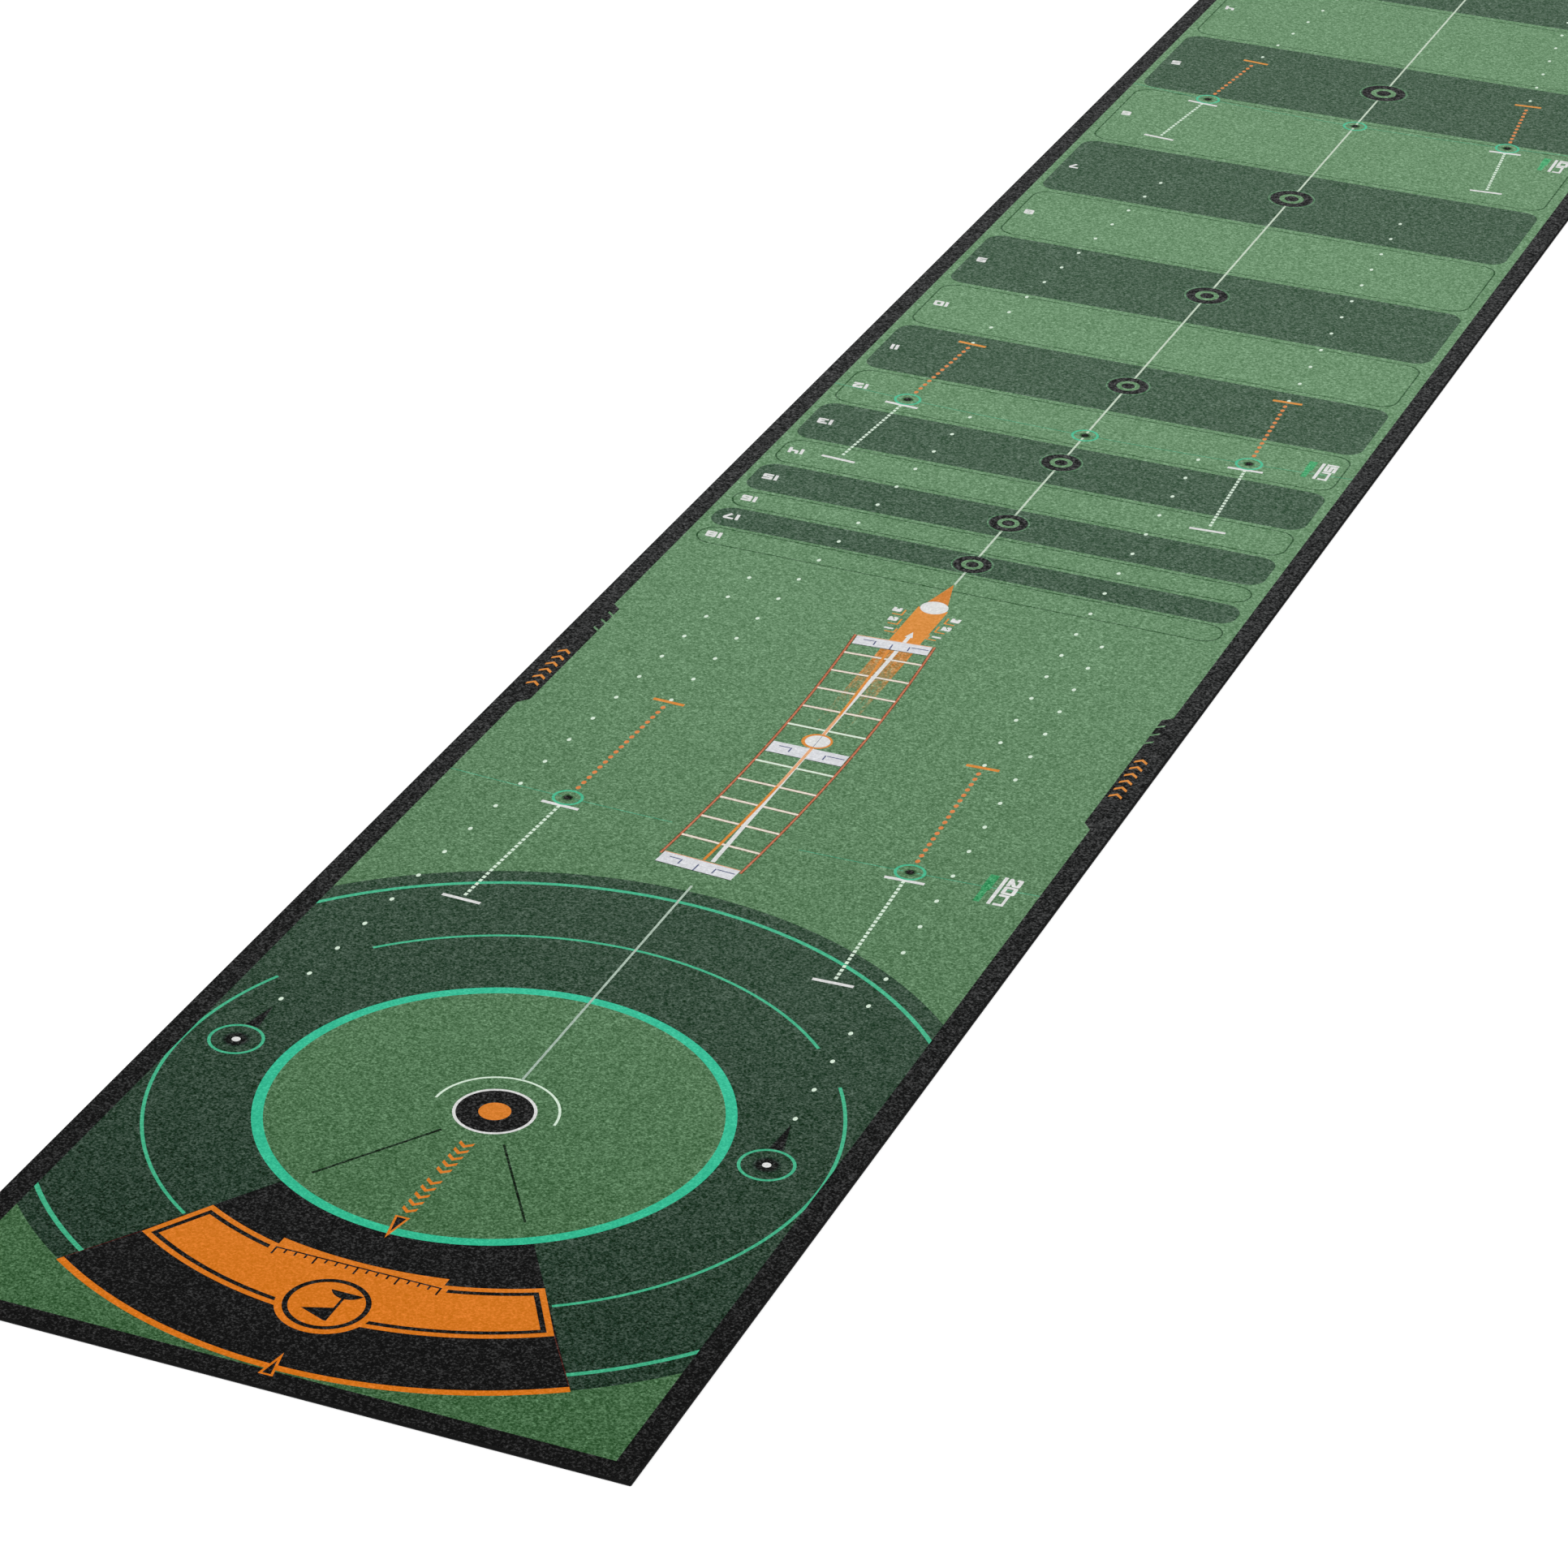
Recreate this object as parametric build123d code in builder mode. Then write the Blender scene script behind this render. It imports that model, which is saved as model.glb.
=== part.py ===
"""Roll-out practice putting mat: three bonded layers, laid flat.

The mat lies on its underside. X runs across it, Y runs along it from the target end to the
hole end, and Z is up. The origin is at the middle of the underside. Millimetres.
"""

import os

from build123d import *

# Driving dimensions
mat_width = 950.0
mat_length = 8000.0
rubber_thickness = 1.5  # heavy nitrile rubber that lies against the floor
cloth_thickness = 0.5  # woven cloth that the pile is tufted through
pile_height = 2.5  # short cut pile that the ball rolls on
corner_radius = 2.0  # the four die-cut corners, nearly square
rubber_edge_round = 0.3  # moulded lower edge of the rubber
pile_edge_round = 0.8  # sheared outer tufts lean outwards round the rim

# Heights of the faces where the layers are bonded together
cloth_base = rubber_thickness
pile_base = cloth_base + cloth_thickness
playing_height = pile_base + pile_height

os.makedirs("parts", exist_ok=True)


# The rubber is vulcanised to the cloth above it and is cut flush with it.
with BuildPart() as rubber_base:
    with BuildSketch(Plane.XY):
        RectangleRounded(mat_width, mat_length, corner_radius)
    extrude(amount=rubber_thickness)
    lower_rim = rubber_base.faces().sort_by(Axis.Z)[0].edges()
    fillet(lower_rim, radius=rubber_edge_round)

# The cloth holds the roots of the tufts.
with BuildPart() as backing_cloth:
    with BuildSketch(Plane.XY.offset(cloth_base)):
        RectangleRounded(mat_width, mat_length, corner_radius)
    extrude(amount=cloth_thickness)

# The pile is one field of tufts. Its colours are printed on the yarn, so they add no pieces.
with BuildPart() as printed_pile:
    with BuildSketch(Plane.XY.offset(pile_base)):
        RectangleRounded(mat_width, mat_length, corner_radius)
    extrude(amount=pile_height)
    upper_rim = printed_pile.faces().sort_by(Axis.Z)[-1].edges()
    fillet(upper_rim, radius=pile_edge_round)


rubber_base.part.label = "rubber_base"
backing_cloth.part.label = "backing_cloth"
printed_pile.part.label = "printed_pile"

export_step(rubber_base.part, "parts/rubber_base.step")
export_step(backing_cloth.part, "parts/backing_cloth.step")
export_step(printed_pile.part, "parts/printed_pile.step")

print(f"Mat {mat_width:.0f} x {mat_length:.0f} x {playing_height:.1f} mm")
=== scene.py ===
"""Roll-out practice putting mat: the visual model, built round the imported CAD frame.

Plan positions of the printed layout are in mat widths: x from the centre line, y from the
target end. Heights and every Blender object are in metres, in the frame of the CAD model.
"""
import math
import random

import bpy
from mathutils import Matrix, Vector, geometry


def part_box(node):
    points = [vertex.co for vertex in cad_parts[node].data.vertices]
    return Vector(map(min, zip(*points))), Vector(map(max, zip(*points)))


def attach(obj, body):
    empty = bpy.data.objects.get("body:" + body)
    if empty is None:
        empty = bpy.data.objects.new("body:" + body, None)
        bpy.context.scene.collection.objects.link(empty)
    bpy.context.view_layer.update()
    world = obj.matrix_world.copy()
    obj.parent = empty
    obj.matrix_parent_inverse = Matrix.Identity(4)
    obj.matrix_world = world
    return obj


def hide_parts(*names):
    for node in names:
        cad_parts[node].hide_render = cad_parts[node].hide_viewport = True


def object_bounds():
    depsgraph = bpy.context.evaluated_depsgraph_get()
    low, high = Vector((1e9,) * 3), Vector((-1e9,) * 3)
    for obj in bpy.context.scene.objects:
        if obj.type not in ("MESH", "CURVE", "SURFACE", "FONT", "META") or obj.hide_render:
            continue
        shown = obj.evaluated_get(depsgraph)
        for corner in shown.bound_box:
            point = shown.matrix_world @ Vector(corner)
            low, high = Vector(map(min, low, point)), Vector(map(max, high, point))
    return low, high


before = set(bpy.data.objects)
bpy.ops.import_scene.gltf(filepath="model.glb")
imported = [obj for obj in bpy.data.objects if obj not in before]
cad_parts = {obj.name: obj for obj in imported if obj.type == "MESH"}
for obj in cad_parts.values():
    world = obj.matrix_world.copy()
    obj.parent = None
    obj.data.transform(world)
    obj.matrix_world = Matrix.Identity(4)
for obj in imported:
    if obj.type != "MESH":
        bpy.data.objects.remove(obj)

cad_low, cad_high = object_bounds()
pile_low, pile_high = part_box("printed_pile")
cloth_low, cloth_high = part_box("backing_cloth")

WIDTH = pile_high.x - pile_low.x  # one mat width, in metres
LENGTH = (pile_high.y - pile_low.y) / WIDTH  # the mat's length, in widths
HALF = 0.5  # half the mat's width, in widths
SIDES = (-1, 1)  # left and right of the centre line
MM = 0.001 / WIDTH  # one millimetre, in widths

# Driving places of the layout, in widths
TARGET = (0.0, 0.690)  # the target hole at the near end
FAR_HOLE = (0.0, 7.800)  # the hole that the three distances are measured from
BORDER = 0.0342  # printed black border
FIELD_LEFT = BORDER - HALF
FIELD_RIGHT = HALF - BORDER
SECTIONS = 5  # the long field and border are built in this many lengths
RIM_DEPTH = 1.8 * MM  # outermost row of tufts, built apart with its rounded edge
CORNER = 2.0 * MM
CHORD_ERROR = 0.00012  # how far a chord may cut inside its arc


# ---- outlines in plan

def arc(centre, radius, start, end):
    """Points along an arc. Angles are in degrees, counter-clockwise from +x."""
    step = 2 * math.acos(1 - min(CHORD_ERROR / radius, 0.5))
    count = max(2, math.ceil(math.radians(abs(end - start)) / step))
    points = []
    for i in range(count + 1):
        angle = math.radians(start + (end - start) * i / count)
        points.append((centre[0] + radius * math.cos(angle), centre[1] + radius * math.sin(angle)))
    return points


def disc(centre, radius):
    return arc(centre, radius, 0, 360)[:-1]


def oval(centre, half_width, half_length):
    stretch = half_length / half_width
    return [(centre[0] + x, centre[1] + y * stretch) for x, y in disc((0, 0), half_width)]


def arc_band(centre, inner, outer, start, end):
    """A curved strip between two radii."""
    return arc(centre, outer, start, end) + arc(centre, inner, end, start)


def ring(centre, inner, outer):
    return [arc_band(centre, inner, outer, 0, 180), arc_band(centre, inner, outer, 180, 360)]


def rect(left, right, bottom, top):
    return [(left, bottom), (right, bottom), (right, top), (left, top)]


def rounded_rect(left, right, bottom, top, radius):
    points = []
    corners = ((right - radius, top - radius), (left + radius, top - radius),
               (left + radius, bottom + radius), (right - radius, bottom + radius))
    for quarter, corner in enumerate(corners):
        points += arc(corner, radius, 90 * quarter, 90 * quarter + 90)
    return points


def rounded_frame(left, right, bottom, top, radius, line):
    """The outline of a rounded rectangle, as one four-sided strip for each of its edges."""
    outer = rounded_rect(left, right, bottom, top, radius)
    middle = ((left + right) / 2, (bottom + top) / 2)
    half = ((right - left) / 2, (top - bottom) / 2)
    inner = [(middle[0] + (x - middle[0]) * (1 - line / half[0]),
              middle[1] + (y - middle[1]) * (1 - line / half[1])) for x, y in outer]
    strips = []
    for i in range(len(outer)):
        j = (i + 1) % len(outer)
        strips.append([outer[i], outer[j], inner[j], inner[i]])
    return strips


def line(start, end, width):
    """A straight stroke with square ends."""
    a, b = Vector(start), Vector(end)
    along = b - a
    side = Vector((-along.y, along.x)).normalized() / 2 * width
    return [tuple(a - side), tuple(b - side), tuple(b + side), tuple(a + side)]


def placed(outline, origin, angle=0.0):
    """An outline turned by an angle in degrees and moved to an origin."""
    c, s = math.cos(math.radians(angle)), math.sin(math.radians(angle))
    return [(origin[0] + x * c - y * s, origin[1] + x * s + y * c) for x, y in outline]


# ---- figures

# Each digit is a few strokes over a grid of two columns (0, 1) and three rows (0 low, 2 high).
DIGITS = {
    "0": (((0, 0), (1, 0), (1, 2), (0, 2), (0, 0)),),
    "1": (((0, 0), (0, 2)),),
    "2": (((0, 1.5), (0, 2), (1, 2), (1, 1.1), (0, 0), (1, 0)),),
    "3": (((0, 2), (1, 2), (1, 0), (0, 0)), ((0.45, 1), (1, 1))),
    "4": (((0, 2), (0, 1), (1, 1)), ((1, 2), (1, 0))),
    "5": (((1, 2), (0, 2), (0, 1), (1, 1), (1, 0), (0, 0)),),
    "6": (((1, 2), (0, 2), (0, 0), (1, 0), (1, 1), (0, 1)),),
    "7": (((0, 2), (1, 2), (1, 1.5), (0.35, 0)),),
    "8": (((0, 0), (1, 0), (1, 2), (0, 2), (0, 0)), ((0, 1), (1, 1))),
    "9": (((0, 0), (1, 0), (1, 2), (0, 2), (0, 1), (1, 1)),),
}


def bent_stroke(corners, stroke):
    """A stroke with round turns and square ends. It is a loop if it ends where it starts."""
    ends = [Vector(corners[0]), Vector(corners[-1])]
    turns = list(corners[1:-1])
    if corners[0] == corners[-1]:
        turns.append(corners[0])
    else:
        ends[0] += (ends[0] - Vector(corners[1])).normalized() * stroke / 2
        ends[1] += (ends[1] - Vector(corners[-2])).normalized() * stroke / 2
    path = [tuple(ends[0])] + list(corners[1:-1]) + [tuple(ends[1])]
    straights = [line(a, b, stroke) for a, b in zip(path, path[1:])]
    return straights + [disc(turn, stroke / 2) for turn in turns]


def digit(character, width, height, stroke):
    """The shapes of one digit, from (0, 0) at its lower left corner, and its width."""
    span = 0.0 if character == "1" else width - stroke
    shapes = []
    for corners in DIGITS[character]:
        grid = [(stroke / 2 + span * x, stroke / 2 + (height - stroke) * y / 2) for x, y in corners]
        shapes += bent_stroke(grid, stroke)
    return shapes, span + stroke


def number(text, width, height, stroke, gap):
    """The shapes of a whole number, and its total width."""
    shapes, x = [], 0.0
    for character in text:
        made, used = digit(character, width, height, stroke)
        shapes += [placed(shape, (x, 0)) for shape in made]
        x += used + gap
    return shapes, x - gap


# ---- the painted layers

layers = []  # (piece, outline), each painted over the ones before it
inks = {}  # piece -> ink


def paint(piece, ink, *outlines):
    inks[piece] = ink
    for outline in outlines:
        layers.append((piece, outline))


def section_edges(index):
    return LENGTH * index / SECTIONS, LENGTH * (index + 1) / SECTIONS


def paint_field():
    for index in range(SECTIONS):
        paint(f"field_{index + 1}", "green", rect(-HALF, HALF, *section_edges(index)))


# The border widens beside the stroke ladder.
PANEL_STARTS = ((-1, 1.787), (1, 1.770))  # side, and where its widened stretch begins
PANEL_INNER = 0.4515  # distance from the centre line to the widened border's edge
PANEL_TOP = 2.04
CHAMFER = 0.0173
TEETH = 3
TOOTH_PITCH = 0.0285
TOOTH_GAP = 0.0055
TOOTH_RISE = 0.012
TOOTH_BASE = 0.003  # width of the black strip that joins the teeth


def panel(side, start):
    """The widened stretch of border on one side: a solid part, then slanted teeth."""
    edge = -side * FIELD_LEFT
    inner = side * PANEL_INNER
    shapes = [[(edge, start - CHAMFER), (edge, PANEL_TOP + TOOTH_RISE), (inner, PANEL_TOP), (inner, start)]]
    for tooth in range(TEETH):
        low = PANEL_TOP + TOOTH_GAP + tooth * TOOTH_PITCH
        high = low + TOOTH_PITCH - TOOTH_GAP
        shapes.append([(edge, low + TOOTH_RISE), (edge, high + TOOTH_RISE), (inner, high), (inner, low)])
    base = edge - side * TOOTH_BASE
    top = high + TOOTH_RISE
    return shapes + [[(edge, PANEL_TOP), (edge, top), (base, top), (base, PANEL_TOP)]]


def paint_border():
    for index in range(SECTIONS):
        for left, right in ((-HALF, FIELD_LEFT), (FIELD_RIGHT, HALF)):
            paint(f"border_{index + 1}", "black", rect(left, right, *section_edges(index)))
    paint("border_1", "black", rect(-HALF, HALF, 0, BORDER))
    paint(f"border_{SECTIONS}", "black", rect(-HALF, HALF, LENGTH - BORDER, LENGTH))
    for side, start in PANEL_STARTS:
        section = 1 + int(start / LENGTH * SECTIONS)
        paint(f"border_{section}", "black", *panel(side, start))


def chevron(half_width, rise, stroke):
    """An open arrow head that points to -y, with its point at the origin."""
    return [[(0, 0), (half_width, rise), (half_width, rise + stroke), (0, stroke)],
            [(0, 0), (0, stroke), (-half_width, rise + stroke), (-half_width, rise)]]


def chevron_row(origin, turn, count, pitch, size):
    """Chevrons in a row along y, each turned by an angle; size is half width, rise and stroke."""
    shapes = []
    for i in range(count):
        place = (origin[0], origin[1] + i * pitch)
        shapes += [placed(shape, place, turn) for shape in chevron(*size)]
    return shapes


AIMING_ROWS = ((0.0305 - HALF, 1.8465), (HALF - 0.0333, 1.8755))  # each row's first arrow
AIMING_PITCH = 0.0235
AIMING_ARROW = (0.0100, 0.009, 0.0066)


def paint_aiming_marks():
    """Generic arrows stand on the widened border where the real mat has a printed word."""
    for origin in AIMING_ROWS:
        paint("aiming_arrows", "orange", *chevron_row(origin, 180, 6, AIMING_PITCH, AIMING_ARROW))


# ---- near target

DOWN = 270  # the angle that points straight to the near end

# Circles about a hole: a radius, or an inner and an outer radius
DARK_DISC = 0.651
WIDE_CIRCLE = (0.6136, 0.6206)
MIDDLE_CIRCLE = (0.4636, 0.4686)
MIDDLE_SPANS = ((33.8, 121.7), (134.4, 226.4), (245.0, 326.2))  # its stretches, counted from DOWN
GREEN_DISC = 0.312
GREEN_RING = (0.307, 0.3227)
HALF_ARC = (0.0847, 0.0883)
HOLE_RIM = 0.0568
HOLE = 0.0524
HOLE_CENTRE = 0.0220

# The black wedge between the green ring and the near end
WEDGE = (0.310, 0.648)
WEDGE_ARC = (0.6426, 0.6534)
WEDGE_ANGLES = (33.9, 33.1)  # its half angle at the ring and at its outer arc
WEDGE_CORNER = (0.3548, -0.5442)  # where the thin line on its right side ends, from the hole
FAN_START = 0.083
FAN_LINES = ((-33.2, 0.0044, 0.280), (33.2, 0.0034, 0.272))  # angle from DOWN, width, reach


def target_circles(centre, prefix):
    """The wide circles, which the near target and the far hole share."""
    paint(prefix + "_dark_disc", "dark_green", disc(centre, DARK_DISC))
    paint(prefix + "_wide_circle", "thin_turquoise", *ring(centre, *WIDE_CIRCLE))


def target_hole(centre, prefix):
    """The green disc and the hole in it, which the near target and the far hole share."""
    paint(prefix + "_green_disc", "green", disc(centre, GREEN_DISC))
    paint(prefix + "_ring", "turquoise", *ring(centre, *GREEN_RING))
    paint(prefix + "_hole_ring", "white", disc(centre, HOLE_RIM))
    paint(prefix + "_hole", "black", disc(centre, HOLE))
    paint(prefix + "_hole_centre", "orange", disc(centre, HOLE_CENTRE))


def paint_wedge():
    """The wedge, with an orange arc at its foot and a thin line down each side."""
    x, y = TARGET
    inner, outer = WEDGE_ANGLES
    wedge = arc(TARGET, WEDGE[1], DOWN - outer, DOWN + outer)
    wedge += arc(TARGET, WEDGE[0], DOWN + inner, DOWN - inner)
    paint("wedge", "black", wedge)
    (start_x, start_y), (end_x, end_y) = PLAQUE_END[1], WEDGE_CORNER
    for side in SIDES:
        edge = line((x + side * start_x, y + start_y), (x + side * end_x, y + end_y), 0.0012)
        paint("wedge_edges", "dark_rust", edge)
    paint("wedge_arc", "orange", arc_band(TARGET, *WEDGE_ARC, DOWN - outer, DOWN + outer))


def paint_target():
    x, y = TARGET
    target_circles(TARGET, "target")
    for start, end in MIDDLE_SPANS:
        stretch = arc_band(TARGET, *MIDDLE_CIRCLE, DOWN + start, DOWN + end)
        paint("target_middle_circle", "thin_turquoise", stretch)
    paint_wedge()
    target_hole(TARGET, "target")
    for turn, width, reach in FAN_LINES:
        angle = math.radians(DOWN + turn)
        ray_x, ray_y = math.cos(angle), math.sin(angle)
        start = (x + FAN_START * ray_x, y + FAN_START * ray_y)
        paint("target_fan_lines", "dark_line", line(start, (x + reach * ray_x, y + reach * ray_y), width))
    paint("target_half_arc", "dot_white", arc_band(TARGET, *HALF_ARC, 0, 180))


ZONE_ROWS = ((0.4200, 0.0182), (0.5225, 0.0172))  # y of each row's first arrow, and its pitch
ZONE_ARROW = (0.0102, 0.0085, 0.0068)


def paint_zone_marks():
    """Generic arrows lead from the hole to the ring where the real mat has two printed words."""
    for start, pitch in ZONE_ROWS:
        paint("zone_arrows", "orange", *chevron_row((0, start), 0, 5, pitch, ZONE_ARROW))


def outlined_triangle(piece, base, tip, half_width, stroke):
    """A narrow triangle with an orange outline and a black middle."""
    rise = 1 if tip > base else -1
    height = abs(tip - base)
    slope = math.hypot(height, half_width) / half_width
    inner_half = half_width - stroke * (1 + slope) / slope * half_width / height - stroke
    low = base + rise * stroke
    paint(piece, "orange", [(-half_width, base), (half_width, base), (0, tip)])
    paint(piece + "_middle", "black",
          [(-inner_half, low), (inner_half, low), (0, tip - rise * stroke * slope)])


# The plaque across the wedge: two arcs about their own centres, joined by slanted ends.
PLAQUE_TOP = (0.0744, 0.489)  # the upper arc's centre above the hole, and its radius
PLAQUE_BOTTOM = (0.0083, 0.5385)
PLAQUE_END = ((0.2345, -0.3547), (0.2890, -0.4459))  # upper and lower right corners, from the hole
PLAQUE_STEPS = (("plaque", "orange", 0), ("plaque_line", "black", 0.0085),
                ("plaque_field", "orange", 0.0157))  # piece, ink and how far inside the edge
TAB_HALF = 0.1165  # the tab that stands on the plaque's upper edge
TAB_ARC = (0.165, 0.5624)  # its arc's centre above the hole, and its radius
SEAL_DROP = 0.498  # the round seal's centre below the hole
SEAL_RADIUS = 0.0662
SEAL_RING = (0.0491, 0.0563)


def plaque(inset):
    """The plaque's outline, moved inwards by inset all round."""
    x, y = TARGET
    upper, lower = Vector(PLAQUE_END[0]), Vector(PLAQUE_END[1])
    along = (lower - upper).normalized()
    start = upper + Vector((along.y, -along.x)) * inset
    angles = []
    for (height, radius), grow in ((PLAQUE_TOP, 1), (PLAQUE_BOTTOM, -1)):
        offset = start - Vector((0, height))
        reach = radius + grow * inset
        b = offset.dot(along)
        distance = -b + math.sqrt(b * b - offset.length_squared + reach * reach)
        corner = offset + along * distance
        angles.append((height, reach, math.degrees(math.atan2(corner.x, -corner.y))))
    (top_y, top_r, top_a), (low_y, low_r, low_a) = angles
    outline = arc((x, y + low_y), low_r, DOWN - low_a, DOWN + low_a)
    return outline + arc((x, y + top_y), top_r, DOWN + top_a, DOWN - top_a)


def paint_plaque():
    x, y = TARGET
    for piece, ink, inset in PLAQUE_STEPS:
        paint(piece, ink, plaque(inset))
    height, radius = TAB_ARC
    angle = math.degrees(math.asin(TAB_HALF / radius))
    tab = [(x - TAB_HALF, y - 0.425), (x + TAB_HALF, y - 0.425)]
    tab += arc((x, y + height), radius, DOWN + angle, DOWN - angle)
    paint("plaque", "orange", tab, rect(x - 0.125, x + 0.125, y - 0.437, y - 0.4045))
    paint_plaque_ticks()
    seal = (x, y - SEAL_DROP)
    paint("seal_disc", "orange", disc(seal, SEAL_RADIUS))
    paint("seal_ring", "black", *ring(seal, *SEAL_RING))
    paint_flag(seal)


def paint_plaque_ticks():
    """A row of plain ticks fills the tab where the real mat has a name."""
    x, y, reach, count = TARGET[0], 0.2745, 0.1155, 17
    top = y + 0.0085
    ticks = [rect(x - reach, x + reach, y + 0.0058, top)]
    for i in range(count):
        place = x + reach * (2 * i / (count - 1) - 1)
        height = 0.0175 if i % 4 == 0 else 0.0105
        ticks.append(rect(place - 0.0014, place + 0.0014, top - height, top))
    paint("plaque_ticks", "black", *ticks)


def paint_flag(seal):
    """A plain golf flag, upside down to a player at the target, inside the seal."""
    pole = rect(-0.0155, -0.0115, -0.030, 0.034)
    cloth = [(-0.0115, 0.034), (-0.0115, 0.004), (0.027, 0.019)]
    mound = arc((-0.0135, -0.043), 0.0250, 25, 155)
    paint("seal_flag", "black", *[placed(shape, seal, 180) for shape in (pole, cloth, mound)])


# ---- gates beside the target

GATES = (  # the ring's centre, the tip of its spike, and x in the middle of the spike's base
    ((-0.3976, 0.7135), (-0.3915, 0.8122), -0.3942),
    ((0.3801, 0.7162), (0.3720, 0.8216), 0.37745),
)
GATE_SPIKES = (("soft", "shade_2", 0.0215), ("core", "black", 0.0155))  # part, ink, width
GATE_RING = (0.0347, 0.0392)
GATE_HALOS = (0.0195, 0.0165, 0.0140)
GATE_DOT = 0.0062


def paint_gates():
    for centre, tip, base_x in GATES:
        base = centre[1] + 0.040
        for part, ink, width in GATE_SPIKES:
            spike = [(base_x - width / 2, base), (base_x + width / 2, base), tip]
            paint("gate_spikes_" + part, ink, spike)
        paint("gate_rings", "thin_turquoise", *ring(centre, *GATE_RING))
        for step, radius in enumerate(GATE_HALOS):
            paint(f"gate_halos_{step + 1}", f"shade_{step + 1}", disc(centre, radius))
        paint("gate_dots", "white", disc(centre, GATE_DOT))


# ---- lines of white dots

DOT_ROWS = (  # first dot, last dot, and how many
    ((-0.3908, 0.8338), (-0.3084, 2.3155), 20),
    ((0.3714, 0.8372), (0.2869, 2.3203), 20),
    ((-0.2543, 1.8743), (-0.2036, 3.0466), 16),
    ((0.2558, 1.8757), (0.2057, 3.0480), 16),
    ((-0.3091, 3.3446), (-0.2490, 4.2014), 12),
    ((0.2730, 3.3430), (0.2211, 4.1999), 12),
    ((-0.2787, 4.9290), (-0.2255, 5.4743), 8),
    ((0.2747, 4.9243), (0.2206, 5.4696), 8),
)
DOT_HALVES = (0.0032, 0.0050)  # half width and half length


def paint_dot_rows():
    for start, end, count in DOT_ROWS:
        for i in range(count):
            t = i / (count - 1)
            place = (start[0] + (end[0] - start[0]) * t, start[1] + (end[1] - start[1]) * t)
            paint("white_dots", "dot_white", oval(place, *DOT_HALVES))


# ---- putting stations

# A putting line runs through a small circle. Its places count from there towards the far hole.
DASHES = (-0.0309, 0.01122, 0.0074, 0.0051)  # first place, pitch, length and width
DASH_STOP = 0.012  # how far before the outer bar the dashes stop
DOTS = (0.0349, 0.01795, 0.0037, 0.0055)  # first place, pitch, half width and half length
DOT_STOP = 0.018  # how far before the orange bar the dots stop
INNER_BAR = -0.0258
BAR_REACH = 0.0304  # half length of the white bars
ORANGE_REACH = 0.026  # half length of the orange bar
SPOT_RING = (0.0193, 0.0238)
SPOT_STEPS = (0.0100, 0.0080, 0.0060)
ARC_HALF = 0.0009  # half the thickness of the arcs


def toward_hole(start, distance):
    """The point at a distance from start on its line to the far hole, and the line's direction."""
    ray = (Vector(FAR_HOLE) - Vector(start)).normalized()
    return Vector(start) + ray * distance, ray


def cross_bar(start, distance, half_length, thickness):
    """A bar across a station's line."""
    middle, ray = toward_hole(start, distance)
    side = Vector((-ray.y, ray.x)) * half_length
    return line(middle - side, middle + side, thickness)


def dashes(start, last):
    """Short strokes along a station's line, back from its circle, each centred on its place."""
    first, pitch, dash, width = DASHES
    shapes = []
    for i in range(1 + int((first - last) / pitch)):
        a, ray = toward_hole(start, first - i * pitch)
        shapes.append(line(a - ray * dash / 2, a + ray * dash / 2, width))
    return shapes


def dots(start, last):
    """Oval dots along a station's line, on from its circle."""
    first, pitch, half_width, half_length = DOTS
    count = 1 + round((last - first) / pitch)
    return [oval(toward_hole(start, first + i * pitch)[0], half_width, half_length) for i in range(count)]


def station_spot(name, centre):
    """A small turquoise circle with a soft dark spot in it."""
    paint(name + "_circles", "thin_turquoise", *ring(centre, *SPOT_RING))
    for step, radius in enumerate(SPOT_STEPS):
        paint(f"{name}_spots_{step + 1}", f"spot_{step + 1}", disc(centre, radius))


def station(name, left, right, radius, tail, head, gap=0.0):
    """One distance: an arc about the far hole, with a dashed putting line on each side.

    left and right are the x of the two circles, tail and head how far the lines run back and on,
    and gap how far from the centre line the arc stops. With no gap it has a circle in the middle.
    """
    hole_y = FAR_HOLE[1]
    reach = math.degrees(math.asin(FIELD_RIGHT / radius))
    inner = math.degrees(math.asin(gap / radius))
    halves = ((DOWN - reach, DOWN - inner), (DOWN + inner, DOWN + reach))
    for start, end in halves if gap else ((DOWN - reach, DOWN + reach),):
        band = arc_band(FAR_HOLE, radius - ARC_HALF, radius + ARC_HALF, start, end)
        paint(name + "_arc", "faint_turquoise", band)
    for x in (left, right):
        spot = (x, hole_y - math.sqrt(radius * radius - x * x))
        paint(name + "_dashes", "dot_white", *dashes(spot, DASH_STOP - tail))
        paint(name + "_bars", "white", cross_bar(spot, INNER_BAR, BAR_REACH, 0.0070),
              cross_bar(spot, -tail, BAR_REACH, 0.0068))
        paint(name + "_orange_dots", "dot_orange", *dots(spot, head - DOT_STOP))
        paint(name + "_orange_bars", "orange", cross_bar(spot, head, ORANGE_REACH, 0.0075))
        station_spot(name, spot)
    if not gap:
        station_spot(name, (0, hole_y - radius))


def paint_stations():
    station("station_20", -0.2699, 0.2710, 6.2813, 0.3372, 0.3425, gap=0.10)
    station("station_15", -0.3266, 0.2890, 4.7410, 0.2765, 0.2690)
    station("station_10", -0.3050, 0.3011, 3.1565, 0.2360, 0.2375)
    station("station_5", -0.2500, 0.2500, 1.6040, 0.2000, 0.2000)


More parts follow.
